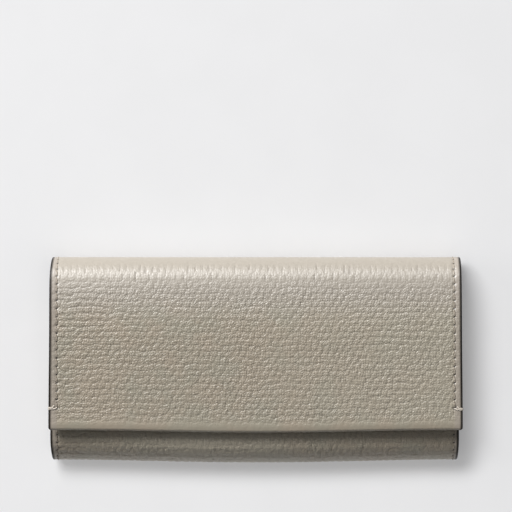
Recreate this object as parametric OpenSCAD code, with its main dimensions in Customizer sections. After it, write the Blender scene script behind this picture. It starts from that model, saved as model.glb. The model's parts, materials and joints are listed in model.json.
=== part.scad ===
// Long purse wallet of grained leather with a folding flap, closed and lying on its back.
// X is the width, +Y runs from the bottom fold to the spine, +Z points out through the flap.
// The origin is the middle of the rectangle that the closed wallet covers, at its back.

/* [Overall] */
// Width of the flap and the spine
flap_w = 190; // [185:1:205]
// Height of the closed wallet, from the bottom fold to the spine
wallet_h = 94; // [93:1:105]
// How far each side edge of the body lies inside the flap's
body_inset = 0.5; // [0:0.1:1.5]
// Height of the body that stays in sight below the flap's edge
band_h = 14.4; // [13:0.2:18]
// Outer radius of the two folds beside the spine
spine_r = 10; // [8:0.5:11]
// Distance from the spine's outside to the front panel's top edge
front_drop = 19; // [18:0.5:24]
// Radius of the corners of the panels
corner_r = 2; // [1:0.5:4]
// Gap between two panels where the leather folds
fold_gap = 0.3; // [0.2:0.05:0.5]

/* [Layers] */
// Thickness of the outer leather
leather_t = 1.2; // [1:0.1:1.4]
// Thickness of the lining
lining_t = 0.6; // [0.5:0.05:0.8]
// Thickness of the stiffening boards let into the lining
board_t = 0.3; // [0.2:0.05:0.4]
// Width of lining that is glued down round a board
board_margin = 4; // [3:0.5:8]
// Thickness of one card pocket strip
strip_t = 0.5; // [0.4:0.05:0.6]
// Thickness of the coin pocket's walls
pocket_wall = 0.7; // [0.6:0.05:1]
// Thickness of the gussets' leather
gusset_t = 0.5; // [0.4:0.05:0.6]

/* [Room inside] */
// Clear depth of each note compartment
note_gap = 4.35; // [4.35:0.05:6]
// Clear depth of the coin pocket
coin_gap = 4.5; // [4.5:0.1:6]
// Clearance between the flap's card pockets and the front panel
flap_clear = 1.7; // [1.2:0.1:2]
// Clearance between soft pieces that move apart
soft_clear = 0.3; // [0.2:0.05:0.4]
// Distance from the bottom fold's outside to the coin pocket's bottom
pocket_drop = 7; // [5:0.5:9]
// Distance from the spine's outside to the coin pocket's mouth
mouth_drop = 21; // [21:0.5:26]

/* [Flap] */
// Width of the hem that is turned under along the flap's edge
hem_w = 9.5; // [8:0.1:12]

/* [Card pockets] */
// Tiers of card pockets on the back panel
back_tiers = 4; // [2:1:4]
// Tiers of card pockets inside the front panel
front_tiers = 2; // [1:1:3]
// Tiers of card pockets under the flap
flap_tiers = 3; // [2:1:3]
// Step from one tier's mouth to the next
tier_step = 8; // [6:0.5:9]
// Distance from the spine's outside to the mouth of the highest tier in the body
tier_drop = 25; // [24:0.5:30]

/* [Gussets] */
// Width of a gusset's flange along the side seam
flange_w = 4.5; // [3.5:0.5:6]
// Depth of a gusset's fold behind its flanges
gusset_depth = 5.5; // [4:0.5:7]
// How far the gussets and pocket walls lie inside the body's side edges
seam_inset = 0.5; // [0.3:0.1:1]

/* [Magnetic snap] */
// Radius of both halves of the snap
snap_r = 6.5; // [6:0.25:7.5]
// Thickness of the stud half's plate
stud_plate_t = 0.7; // [0.5:0.05:0.8]
// Radius of the stud
stud_r = 2; // [1.5:0.1:2.5]
// Clearance round the stud and between the halves
snap_clear = 0.2; // [0.15:0.05:0.3]
// Thickness of the socket's pressed cup
cup_t = 0.3; // [0.2:0.05:0.35]
// Radius of the washers behind the snap's halves
washer_r = 7.2; // [7:0.1:8]

/* [Zip] */
// Distance from the flap's side edge to the end of the toothed chain
chain_inset = 15; // [14:0.5:22]
// Distance between teeth along one tape
tooth_pitch = 2; // [1.6:0.1:2.4]
// Reach of a tooth from its root to the tip of its head
tooth_l = 2.25; // [2.1:0.05:2.4]
// Overlap of the two rows of teeth where they mesh
tooth_mesh = 0.7; // [0.5:0.05:0.9]
// Height of the teeth above the tape
tooth_h = 1.4; // [1.2:0.1:1.6]
// Side clearance between two meshed teeth
tooth_clear = 0.05; // [0.04:0.01:0.1]
// Thickness of the zip tape
tape_t = 0.4; // [0.3:0.05:0.5]
// Width of tape that is sewn down inside each wall
tape_seam = 9; // [6:0.5:12]
// Length of tape past each end of the chain
tape_tail = 4; // [3:0.5:5]
// Length of the slider's body
slider_l = 8; // [7:0.5:9]
// Thickness of the slider's top plate and its side flanges
slider_wall = 0.8; // [0.6:0.1:0.9]
// Length of the pull tab beyond its crossbar
pull_l = 11.5; // [9:0.5:12]
// Width of the pull tab
pull_w = 4.6; // [4:0.2:5]
// Thickness of the pull tab
pull_t = 0.9; // [0.7:0.1:1]

/* [Hidden] */
$fn = 64;
overrun = 1;

body_w = flap_w - 2 * body_inset;
inner_w = body_w - 2 * seam_inset;
shell_t = leather_t + lining_t;

// Heights of the layers, from the back up to the flap
back_strips_top = shell_t + back_tiers * strip_t;
pocket_low = back_strips_top + note_gap;
coin_low = pocket_low + pocket_wall;
coin_high = coin_low + coin_gap;
pocket_high = coin_high + pocket_wall;
front_strips_low = pocket_high + note_gap;
front_low = front_strips_low + front_tiers * strip_t;
front_top = front_low + shell_t;
flap_gap = flap_tiers * strip_t + flap_clear;
flap_low = front_top + flap_gap;
wallet_t = flap_low + shell_t;
pocket_mid = (pocket_low + pocket_high) / 2;

// Places along the height of the wallet
bottom_y = -wallet_h / 2;
spine_top_y = wallet_h / 2;
fold_r = front_top / 2;
fold_y = bottom_y + fold_r;
spine_y = spine_top_y - spine_r;
flap_edge_y = bottom_y + band_h;
hem_end_y = flap_edge_y + hem_w;
front_end_y = spine_top_y - front_drop;
mouth_y = spine_top_y - mouth_drop;
strip_base_y = fold_y + corner_r;
first_mouth_y = spine_top_y - tier_drop;
flap_strip_base_y = spine_y - board_margin;

// Half the angle that a fold's gap takes from the leather's curve
fold_trim = fold_gap / 2 / fold_r * 180 / PI;
spine_trim = fold_gap / 2 / spine_r * 180 / PI;
spine_turn = 45;

// Places of the stiffening boards
back_board_from = fold_y;
back_board_to = spine_y;
flap_board_from = hem_end_y + board_margin / 4;
flap_board_to = spine_y - 2 * board_margin;
flap_board_low = wallet_t - leather_t - board_t;
front_board_to = front_end_y - board_margin;
front_board_low = front_top - leather_t - board_t;

// The snap sits between the hem and the flap's first card pocket
snap_margin = 0.8;
snap_y = hem_end_y + snap_margin + snap_r;
flap_mouth_y = snap_y + snap_r + snap_margin;
stud_l = flap_gap - stud_plate_t - snap_clear;
socket_h = flap_gap - stud_plate_t - snap_clear;
socket_bore_r = stud_r + snap_clear;
stud_chamfer = stud_r / 5;

// The coin pocket's bag and its zip
bag_r = (pocket_high - pocket_low) / 2;
bag_y = bottom_y + pocket_drop + bag_r;
tape_top = mouth_y + tape_t;
chain_w = 2 * tooth_l - tooth_mesh;
tooth_w = tooth_pitch / 2 - tooth_clear;
teeth_in_row = floor((flap_w - 2 * chain_inset) / tooth_pitch);
row_l = teeth_in_row * tooth_pitch;
stop_l = tooth_pitch;
teeth_top = tape_top + tooth_h;
slider_flange = slider_wall / 2;
slider_w = chain_w + 2 * soft_clear + 2 * slider_flange;
plate_low = teeth_top + soft_clear;
plate_top = plate_low + slider_wall;
slider_x = row_l / 2 - slider_l / 2 - tooth_pitch;
bail_w = slider_wall + slider_flange;
bar_r = pull_t / 2;
bar_clear = 0.2;
bail_hole_h = 2 * (bar_r + bar_clear);
bail_l = slider_l * 0.6;
bail_hole_l = bail_l - 2 * slider_wall;
bar_y = plate_top + bar_r + bar_clear;
bail_top = plate_top + bail_hole_h + slider_flange;
arm_in = bail_w / 2 + bar_clear;
arm_t = slider_wall;
tab_start = norm([bail_l / 2, bail_top - bar_y]) + bar_clear;

function strip_names(stem, count) = [for (tier = [1:count]) str(stem, tier)];
back_strips = strip_names("back_card_strip_", back_tiers);
front_strips = strip_names("front_card_strip_", front_tiers);
flap_strips = strip_names("flap_card_strip_", flap_tiers);

leather_colour = [0.66, 0.62, 0.55];
lining_colour = [0.45, 0.37, 0.30];
pocket_colour = [0.60, 0.55, 0.48];
board_colour = [0.72, 0.66, 0.55];
tape_colour = [0.36, 0.31, 0.27];
metal_colour = [0.80, 0.68, 0.45];
magnet_colour = [0.35, 0.35, 0.37];

// A cross-section drawn as Y and Z, carried along X
module across(width) {
    rotate([90, 0, 90])
        linear_extrude(width, center = true)
            children();
}

// A section drawn as X and Z, carried along Y from one place to another
module along(y_from, y_to) {
    translate([0, y_to, 0])
        rotate([90, 0, 0])
            linear_extrude(y_to - y_from)
                children();
}

// A flat piece drawn as X and Y, at a height
module layer(low, thickness) {
    translate([0, 0, low])
        linear_extrude(thickness)
            children();
}

// A slice of a round corner, of at most a quarter turn
module slice(radius, from, to) {
    polygon([
        [0, 0],
        2 * radius * [cos(from), sin(from)],
        2 * radius * [cos((from + to) / 2), sin((from + to) / 2)],
        2 * radius * [cos(to), sin(to)]
    ]);
}

// A bent layer of the shell, between two depths below the outside
module bend(centre, radius, outer, inner, from, to) {
    translate(centre)
        intersection() {
            difference() {
                circle(radius - outer);
                circle(radius - inner);
            }
            slice(radius, from, to);
        }
}

// Rectangle in Y and Z between two corners
module flat(y_from, y_to, low, high) {
    translate([y_from, low])
        square([y_to - y_from, high - low]);
}

// The back panel with its share of the bottom fold and of the spine's lower fold
module back_section(outer, inner) {
    bend([fold_y, fold_r], fold_r, outer, inner, 180 + fold_trim, 270);
    flat(fold_y, spine_y, outer, inner);
    bend([spine_y, spine_r], spine_r, outer, inner, 270, 270 + spine_turn - spine_trim);
}

// The spine with its share of both folds beside it
module spine_section(outer, inner) {
    bend([spine_y, spine_r], spine_r, outer, inner, 270 + spine_turn + spine_trim, 360);
    flat(spine_top_y - inner, spine_top_y - outer, spine_r, wallet_t - spine_r);
    bend([spine_y, wallet_t - spine_r], spine_r, outer, inner, 0, spine_turn - spine_trim);
}

// The flap down to a given edge, with its share of the spine's upper fold
module flap_section(outer, inner, edge_y) {
    bend([spine_y, wallet_t - spine_r], spine_r, outer, inner, spine_turn + spine_trim, 90);
    flat(edge_y, spine_y, wallet_t - inner, wallet_t - outer);
}

// The front panel with its share of the bottom fold
module front_section(outer, inner) {
    bend([fold_y, fold_r], fold_r, outer, inner, 90, 180 - fold_trim);
    flat(fold_y, front_end_y, front_top - inner, front_top - outer);
}

// Outline of a panel seen from above, rounded at the two corners of one end
module rounded_end(width, round_y, far_y) {
    turn = sign(far_y - round_y);
    reach = abs(far_y - round_y);
    translate([0, round_y])
        scale([1, turn])
            union() {
                translate([-width / 2, corner_r])
                    square([width, reach - corner_r]);
                translate([-width / 2 + corner_r, 0])
                    square([width - 2 * corner_r, 2 * corner_r]);
                for (side = [-1, 1])
                    translate([side * (width / 2 - corner_r), corner_r])
                        circle(corner_r);
            }
}

// A board's outline
module board_outline(from_y, to_y) {
    translate([-body_w / 2 + board_margin, from_y])
        square([body_w - 2 * board_margin, to_y - from_y]);
}

// The outline of the washer behind one half of the snap
module washer_outline() {
    translate([0, snap_y])
        circle(washer_r);
}

module back_leather() {
    color(leather_colour)
        across(body_w)
            back_section(0, leather_t);
}

module back_board() {
    color(board_colour)
        layer(leather_t, board_t)
            board_outline(back_board_from, back_board_to);
}

module back_lining() {
    color(lining_colour)
        difference() {
            across(inner_w)
                back_section(leather_t, shell_t);
            layer(leather_t, board_t)
                board_outline(back_board_from, back_board_to);
        }
}

module spine_leather() {
    color(leather_colour)
        across(flap_w)
            spine_section(0, leather_t);
}

module spine_lining() {
    color(lining_colour)
        across(inner_w)
            spine_section(leather_t, shell_t);
}

// The leather turns round the flap's edge and lies under it as a hem
module flap_leather() {
    color(leather_colour)
        intersection() {
            across(flap_w) {
                flap_section(0, leather_t, flap_edge_y + leather_t);
                translate([flap_edge_y + leather_t, wallet_t - leather_t])
                    circle(leather_t);
                flat(flap_edge_y + leather_t, hem_end_y,
                    wallet_t - 2 * leather_t, wallet_t - leather_t);
            }
            layer(front_low, wallet_t)
                rounded_end(flap_w, flap_edge_y, spine_top_y + overrun);
        }
}

module flap_board() {
    color(board_colour)
        layer(flap_board_low, board_t)
            difference() {
                board_outline(flap_board_from, flap_board_to);
                washer_outline();
            }
}

module flap_lining() {
    color(lining_colour)
        difference() {
            across(inner_w)
                flap_section(leather_t, shell_t, hem_end_y);
            layer(flap_board_low, board_t) {
                board_outline(flap_board_from, flap_board_to);
                washer_outline();
            }
        }
}

module front_leather() {
    color(leather_colour)
        intersection() {
            across(body_w)
                front_section(0, leather_t);
            layer(0, wallet_t)
                rounded_end(body_w, front_end_y, bottom_y - overrun);
        }
}

module front_board() {
    color(board_colour)
        layer(front_board_low, board_t)
            difference() {
                board_outline(fold_y, front_board_to);
                washer_outline();
            }
}

module front_lining() {
    color(lining_colour)
        difference() {
            intersection() {
                across(inner_w)
                    front_section(leather_t, shell_t);
                layer(0, wallet_t)
                    rounded_end(inner_w, front_end_y, bottom_y - overrun);
            }
            layer(front_board_low, board_t) {
                board_outline(fold_y, front_board_to);
                washer_outline();
            }
        }
}

// A card pocket's strip, open at its mouth and sewn down at its base
module card_strip(base_y, strip_mouth_y, low) {
    color(pocket_colour)
        layer(low, strip_t)
            rounded_end(inner_w, strip_mouth_y, base_y);
}

module back_card_strip(tier) {
    card_strip(strip_base_y, first_mouth_y - (tier - 1) * tier_step,
        shell_t + (tier - 1) * strip_t);
}

module front_card_strip(tier) {
    card_strip(strip_base_y, first_mouth_y - (tier - 1) * tier_step,
        front_low - tier * strip_t);
}

module flap_card_strip(tier) {
    card_strip(flap_strip_base_y, flap_mouth_y + (tier - 1) * tier_step,
        flap_low - tier * strip_t);
}

// One pleat of a side gusset: a flange on each wall, and a fold that points inwards
module pleat(side, low, high, from_y, to_y) {
    run = gusset_depth;
    rise = (high - low) / 2;
    mid = (high + low) / 2;
    root_x = inner_w / 2 - flange_w;
    fold_x = root_x - run;
    skin = gusset_t * norm([run, rise]) / rise;
    shift = skin - run * gusset_t / rise;
    color(pocket_colour)
        along(from_y, to_y)
            scale([side, 1])
                polygon([
                    [inner_w / 2, low],
                    [root_x, low],
                    [fold_x, mid],
                    [root_x, high],
                    [inner_w / 2, high],
                    [inner_w / 2, high - gusset_t],
                    [root_x + shift, high - gusset_t],
                    [fold_x + skin, mid],
                    [root_x + shift, low + gusset_t],
                    [inner_w / 2, low + gusset_t]
                ]);
}

module gusset_back(side) {
    pleat(side, back_strips_top, pocket_low - soft_clear, strip_base_y, first_mouth_y);
}

module gusset_front(side) {
    pleat(side, pocket_high + soft_clear, front_strips_low, strip_base_y, first_mouth_y);
}

module coin_gusset(side) {
    pleat(side, coin_low, coin_high, bag_y, mouth_y - tape_t);
}

// The stud half of the snap: a thin plate with a stud at its centre
module snap_stud() {
    color(metal_colour)
        translate([0, snap_y, flap_low])
            rotate([180, 0, 0])
                rotate_extrude()
                    polygon([
                        [0, 0],
                        [snap_r, 0],
                        [snap_r, stud_plate_t / 2],
                        [snap_r - stud_plate_t / 2, stud_plate_t],
                        [stud_r, stud_plate_t],
                        [stud_r, stud_plate_t + stud_l - stud_chamfer],
                        [stud_r - stud_chamfer, stud_plate_t + stud_l - snap_clear],
                        [0, stud_plate_t + stud_l - snap_clear]
                    ]);
}

// The socket half: a pressed cup, open towards the leather, over a ring magnet
module snap_socket() {
    color(metal_colour)
        translate([0, snap_y, front_top])
            rotate_extrude()
                polygon([
                    [snap_r - cup_t, 0],
                    [snap_r, 0],
                    [snap_r, socket_h - cup_t],
                    [snap_r - cup_t, socket_h],
                    [socket_bore_r, socket_h],
                    [socket_bore_r, socket_h - cup_t],
                    [snap_r - cup_t, socket_h - cup_t]
                ]);
}

module snap_magnet() {
    color(magnet_colour)
        translate([0, snap_y, front_top])
            difference() {
                cylinder(h = socket_h - cup_t, r = snap_r - cup_t);
                translate([0, 0, -overrun])
                    cylinder(h = socket_h + 2 * overrun, r = socket_bore_r);
            }
}

// The washer that holds a snap half from behind, in the board's hole
module snap_washer(low) {
    color(metal_colour)
        translate([0, snap_y, low])
            difference() {
                cylinder(h = board_t, r = washer_r);
                translate([0, 0, -overrun])
                    cylinder(h = board_t + 2 * overrun, r = stud_r);
            }
}

// The coin pocket's bag: one sheet that turns round the bottom, open at its mouth
module coin_pocket_bag() {
    color(pocket_colour)
        across(inner_w) {
            flat(bag_y, mouth_y, pocket_low, coin_low);
            flat(bag_y, mouth_y, coin_high, pocket_high);
            bend([bag_y, pocket_mid], bag_r, 0, pocket_wall, 90, 180);
            bend([bag_y, pocket_mid], bag_r, 0, pocket_wall, 180, 270);
        }
}

// One half of the zip tape: sewn inside a wall, then turned over the mouth to its teeth
module zip_tape(side) {
    wall = side * coin_gap / 2;
    color(tape_colour)
        across(row_l + 2 * tape_tail)
            polygon([
                [mouth_y - tape_seam, pocket_mid + wall],
                [tape_top, pocket_mid + wall],
                [tape_top, pocket_mid + side * tooth_clear],
                [mouth_y, pocket_mid + side * tooth_clear],
                [mouth_y, pocket_mid + wall - side * tape_t],
                [mouth_y - tape_seam, pocket_mid + wall - side * tape_t]
            ]);
}

// One row of teeth: each a shank with a round head that lies between two heads opposite
module zip_teeth(side) {
    root = side * (tooth_l - tooth_mesh / 2);
    color(metal_colour)
        along(tape_top, teeth_top)
            for (tooth = [0:teeth_in_row - 1])
                translate([(tooth + 0.5 + side * 0.25) * tooth_pitch - row_l / 2, pocket_mid + root])
                    scale([1, -side])
                        union() {
                            translate([-tooth_w / 2, 0])
                                square([tooth_w, tooth_l - tooth_w / 2]);
                            translate([0, tooth_l - tooth_w / 2])
                                circle(tooth_w / 2);
                        }
}

module zip_stops() {
    color(metal_colour)
        for (side = [-1, 1])
            translate([side * (row_l / 2 + stop_l) - stop_l / 2, tape_top, pocket_mid - chain_w / 2])
                cube([stop_l, tooth_h, chain_w]);
}

// The slider straddles the chain, with a bail on top for the pull
module zip_slider() {
    color(metal_colour)
        translate([slider_x, 0, pocket_mid]) {
            along(plate_low, plate_top)
                slider_outline(slider_w);
            along(tape_top + soft_clear, plate_low)
                difference() {
                    slider_outline(slider_w);
                    square([slider_l + overrun, slider_w - 2 * slider_flange], center = true);
                }
            bail();
        }
}

// The slider from above: broad at the shoulders and narrower towards its tail
module slider_outline(width) {
    shoulder = slider_wall;
    polygon([
        [-slider_l / 2, -width / 2 + shoulder / 2],
        [-slider_l / 2 + shoulder, -width / 2],
        [slider_l / 2 - shoulder, -width / 2],
        [slider_l / 2, -width / 2 + shoulder / 2],
        [slider_l / 2, width / 2 - shoulder / 2],
        [slider_l / 2 - shoulder, width / 2],
        [-slider_l / 2 + shoulder, width / 2],
        [-slider_l / 2, width / 2 - shoulder / 2]
    ]);
}

// The bail: an arch that the pull's crossbar turns under
module bail() {
    rise = bail_top - plate_top;
    translate([0, plate_top, -bail_w / 2])
        linear_extrude(bail_w)
            difference() {
                polygon([
                    [-bail_l / 2, 0],
                    [bail_l / 2, 0],
                    [bail_l / 2, rise / 2],
                    [bail_l / 2 - rise / 2, rise],
                    [-bail_l / 2 + rise / 2, rise],
                    [-bail_l / 2, rise / 2]
                ]);
                translate([-bail_hole_l / 2, 0])
                    square([bail_hole_l, bail_hole_h]);
            }
}

// The pull: a crossbar under the bail, two arms and a tab with a hole, lying along the chain
module zip_puller() {
    arm_out = arm_in + arm_t;
    tab_end = pull_l - pull_w / 2;
    color(metal_colour)
        translate([slider_x, bar_y, pocket_mid]) {
            cylinder(h = 2 * arm_out, r = bar_r, center = true);
            along(-pull_t / 2, pull_t / 2)
                difference() {
                    union() {
                        for (side = [-1, 1])
                            translate([-tab_start - bar_r, side * (arm_in + arm_t / 2) - arm_t / 2])
                                square([tab_start + bar_r, arm_t]);
                        translate([-tab_end, -pull_w / 2])
                            square([tab_end - tab_start, pull_w]);
                        translate([-tab_end, 0])
                            circle(pull_w / 2);
                    }
                    translate([-tab_end, 0])
                        circle(pull_w / 4);
                }
        }
}

back_leather();
back_board();
back_lining();
for (tier = [1:back_tiers])
    back_card_strip(tier);
gusset_back(-1);  // gusset_back_left
gusset_back(1);  // gusset_back_right
spine_leather();
spine_lining();
flap_leather();
flap_board();
flap_lining();
for (tier = [1:flap_tiers])
    flap_card_strip(tier);
snap_stud();
snap_washer(flap_board_low);  // snap_stud_washer
front_leather();
front_board();
front_lining();
for (tier = [1:front_tiers])
    front_card_strip(tier);
gusset_front(-1);  // gusset_front_left
gusset_front(1);  // gusset_front_right
snap_socket();
snap_magnet();
snap_washer(front_board_low);  // snap_socket_washer
coin_pocket_bag();
coin_gusset(-1);  // coin_gusset_left
coin_gusset(1);  // coin_gusset_right
zip_tape(-1);  // zip_tape_back
zip_tape(1);  // zip_tape_front
zip_teeth(-1);  // zip_teeth_back
zip_teeth(1);  // zip_teeth_front
zip_stops();
zip_slider();
zip_puller();
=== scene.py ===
"""Looks of a long purse wallet of grained leather, closed and lying on its back.

The numbers are millimetres until a mesh is made. X is the width, +Y runs from the bottom fold
to the spine and +Z points out through the flap.
"""
import json
import math

import bpy
import bmesh
import numpy as np
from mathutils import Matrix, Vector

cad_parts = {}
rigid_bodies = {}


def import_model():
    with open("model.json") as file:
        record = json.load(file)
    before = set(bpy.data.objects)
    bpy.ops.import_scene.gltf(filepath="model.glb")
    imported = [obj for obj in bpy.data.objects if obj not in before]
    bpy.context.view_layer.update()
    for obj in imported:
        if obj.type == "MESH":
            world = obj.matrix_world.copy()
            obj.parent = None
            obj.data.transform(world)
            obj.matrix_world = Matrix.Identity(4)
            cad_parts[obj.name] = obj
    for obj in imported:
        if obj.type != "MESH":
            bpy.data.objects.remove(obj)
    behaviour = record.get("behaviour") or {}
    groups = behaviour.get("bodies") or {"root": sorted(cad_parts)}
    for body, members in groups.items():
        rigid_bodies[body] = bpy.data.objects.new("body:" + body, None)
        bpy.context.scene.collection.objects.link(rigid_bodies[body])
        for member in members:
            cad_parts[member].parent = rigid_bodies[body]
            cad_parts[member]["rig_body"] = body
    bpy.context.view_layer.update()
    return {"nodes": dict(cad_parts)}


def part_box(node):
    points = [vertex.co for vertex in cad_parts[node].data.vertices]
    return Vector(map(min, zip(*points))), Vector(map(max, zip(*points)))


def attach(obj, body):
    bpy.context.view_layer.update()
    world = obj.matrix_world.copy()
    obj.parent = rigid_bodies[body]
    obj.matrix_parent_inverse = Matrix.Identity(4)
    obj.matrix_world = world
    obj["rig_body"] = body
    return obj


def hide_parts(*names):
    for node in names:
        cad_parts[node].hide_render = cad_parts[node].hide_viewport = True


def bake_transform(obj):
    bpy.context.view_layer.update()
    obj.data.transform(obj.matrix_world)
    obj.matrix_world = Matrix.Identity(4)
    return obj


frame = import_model()
MM = 0.001


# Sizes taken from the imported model
def node_box(node):
    """The lowest and highest corners of a solid, in millimetres."""
    low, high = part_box(node)
    return np.array(low) / MM, np.array(high) / MM


flap_low, flap_high = node_box("flap_leather")
front_low, front_high = node_box("front_leather")
lining_low, lining_high = node_box("flap_lining")
bag_low, bag_high = node_box("coin_pocket_bag")

flap_half = flap_high[0]
body_half = front_high[0]
inner_half = lining_high[0]
top_z = flap_high[2]
spine_top = node_box("spine_leather")[1][1]
bottom_y = front_low[1]
flap_edge = flap_low[1]
front_top = front_high[2]
front_end = front_high[1]
hem_end = lining_low[1]
leather_t, lining_t = 1.2, 0.6
shell_t = leather_t + lining_t
spine_r = 10.0
fold_r = front_top / 2
pocket_mid = (bag_low[2] + bag_high[2]) / 2
pocket_wall = 0.7
mouth_y = bag_high[1]


# Random numbers that every run draws alike
CHANCE = np.random.default_rng(11).random((97, 89, 4))


def chance(i, j, layer):
    """The random number of a lattice cell."""
    return CHANCE[np.mod(i, 97), np.mod(j, 89), layer]


def swell(x, y, size, layer=0):
    """Smooth hills between -1 and 1: random heights on a square lattice, joined by smooth steps.
    Each layer starts elsewhere on the lattice."""
    u, v = x / size + 13.7 * layer, y / size + 5.3 * layer
    i, j = np.floor(u).astype(int), np.floor(v).astype(int)
    f, g = u - i, v - j
    f, g = f * f * (3 - 2 * f), g * g * (3 - 2 * g)
    kind = layer % 4
    low = chance(i, j, kind) * (1 - f) + chance(i + 1, j, kind) * f
    high = chance(i, j + 1, kind) * (1 - f) + chance(i + 1, j + 1, kind) * f
    return 2 * (low * (1 - g) + high * g) - 1


def step(value, start, end):
    """0 before start, 1 after end, and a smooth step between them."""
    t = np.clip((value - start) / (end - start), 0, 1)
    return t * t * (3 - 2 * t)


def span(value, rise_from, rise_to, fall_from, fall_to):
    """1 in the middle, with a smooth step up before it and a smooth step down after it."""
    return step(value, rise_from, rise_to) * (1 - step(value, fall_from, fall_to))


def pebbles(x, y, width, height, groove, upright, jitter):
    """Squarish leather pebbles. One seed lies in each cell of a lattice whose rows are offset
    like bricks, and distance is the fourth root of the sum of the fourth powers. A crease runs
    where the nearest two seeds are equally far: its depth is the edge's own strength times e to
    the minus half their difference over the groove's width. Upright is how much upright creases
    outweigh level ones. Returns the crease and the tilt that each pebble's top has of its own."""
    row = np.floor(y / height).astype(int)
    near = [np.full(x.shape, 1e9)] + [np.zeros(x.shape) for _ in range(3)]
    next_near = [value.copy() for value in near]
    for dj in (-1, 0, 1):
        j = row + dj
        offset = 0.5 * np.mod(j, 2)
        column = np.floor(x / width - offset).astype(int)
        for i in (column - 1, column, column + 1):
            px = (i + offset + 0.5 + jitter * (chance(i, j, 0) - 0.5)) * width - x
            py = (j + 0.5 + jitter * (chance(i, j, 1) - 0.5)) * height - y
            seed = [(px ** 4 + py ** 4) ** 0.25, px, py, chance(i, j, 2)]
            nearest, second = seed[0] < near[0], seed[0] < next_near[0]
            next_near = [np.where(nearest, a, np.where(second, b, c)) for a, b, c in zip(near, seed, next_near)]
            near = [np.where(nearest, b, a) for a, b in zip(near, seed)]
    far, mx, my, ma = near
    far_2, nx, ny, na = next_near
    level = np.abs(ny - my) / (np.hypot(nx - mx, ny - my) + 1e-9)
    strength = (0.6 + 0.4 * np.mod(7.3 * (ma + na), 1)) * (upright * (1 - level) + (2 - upright) * level)
    tilt = (ma - 0.5) * mx + (np.mod(5.1 * ma, 1) - 0.5) * my
    return strength * np.exp(-(far_2 - far) / 2 / groove), tilt


class Trail:
    """A line in a plane made of straight runs and round turns."""

    def __init__(self, start, heading, parts):
        """Each part is a length and the degrees it turns through. The heading is the sum of the
        turns so far, and the place is the sum of the short steps along it."""
        ends = np.concatenate([[0], np.cumsum([length for length, _ in parts])])
        turns = np.radians(heading + np.concatenate([[0], np.cumsum([turn for _, turn in parts])]))
        self.ends = ends
        self.s = np.linspace(0, ends[-1], int(ends[-1] / 0.02) + 1)
        self.angle = np.interp(self.s, ends, turns)
        middle = (self.angle[1:] + self.angle[:-1]) / 2
        steps = np.diff(self.s)
        self.p = start[0] + np.concatenate([[0], np.cumsum(np.cos(middle) * steps)])
        self.q = start[1] + np.concatenate([[0], np.cumsum(np.sin(middle) * steps)])
        self.shift = None

    def at(self, s, depth, x=0):
        """The point at a length along the line and a depth behind it, shifted by an amount that
        changes with the length and the place across."""
        angle = np.interp(s, self.s, self.angle)
        p = np.interp(s, self.s, self.p) + depth * np.sin(angle)
        if self.shift:
            p = p + self.shift(s, x)
        return p, np.interp(s, self.s, self.q) - depth * np.cos(angle)


def arc(radius, degrees):
    """The part of a trail that turns round a circle."""
    return (math.pi * radius * abs(degrees) / 180, degrees)


def placed(name, data):
    """An object of the scene that holds a mesh, a lamp or a camera."""
    made = bpy.data.objects.new(name, data)
    bpy.context.scene.collection.objects.link(made)
    return made


# Meshes. Edges that bend by more than these degrees look sharp
sharp_from = 75


def make_piece(name, points, faces, finish, ends, uv, values=None):
    """A mesh object from points in millimetres, an array of four-cornered faces and closing ends.
    The faces are turned round if the closed form would be inside out."""
    corners = faces.reshape(-1)
    starts = np.arange(0, len(corners), 4)
    for end in ends:
        starts = np.append(starts, len(corners))
        corners = np.concatenate([corners, end])
    first, second, third, fourth = (points[faces[:, k]] for k in range(4))
    volume = np.einsum("ij,ij->", first, np.cross(second, third) + np.cross(third, fourth))
    if volume < 0:
        bounds = np.append(starts, len(corners))
        turned = [corners[a:b][::-1] for a, b in zip(bounds[len(faces):-1], bounds[len(faces) + 1:])]
        corners = np.concatenate([faces[:, ::-1].reshape(-1), *turned])
    mesh = bpy.data.meshes.new(name)
    mesh.vertices.add(len(points))
    mesh.vertices.foreach_set("co", (points * MM).astype(np.float32).ravel())
    mesh.loops.add(len(corners))
    mesh.loops.foreach_set("vertex_index", corners.astype(np.int32))
    mesh.polygons.add(len(starts))
    mesh.polygons.foreach_set("loop_start", starts.astype(np.int32))
    mesh.update(calc_edges=True)
    mesh.validate()
    mesh.polygons.foreach_set("use_smooth", np.ones(len(mesh.polygons), bool))
    mesh.set_sharp_from_angle(angle=math.radians(sharp_from))
    for key, value in (values or {}).items():
        mesh.attributes.new(key, "FLOAT", "POINT").data.foreach_set("value", value.astype(np.float32).ravel())
    layer = mesh.uv_layers.new(name="UVMap")
    layer.data.foreach_set("uv", uv[corners].astype(np.float32).ravel())
    mesh.materials.append(finish)
    piece = placed(name, mesh)
    return piece


def ring_faces(rows, columns):
    """Four-cornered faces between rows of points, each row closed into a ring."""
    i, j = np.meshgrid(np.arange(rows - 1), np.arange(columns), indexing="ij")
    k = np.mod(j + 1, columns)
    return np.stack([i * columns + j, i * columns + k, (i + 1) * columns + k, (i + 1) * columns + j],
                    axis=-1).reshape(-1, 4)


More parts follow.
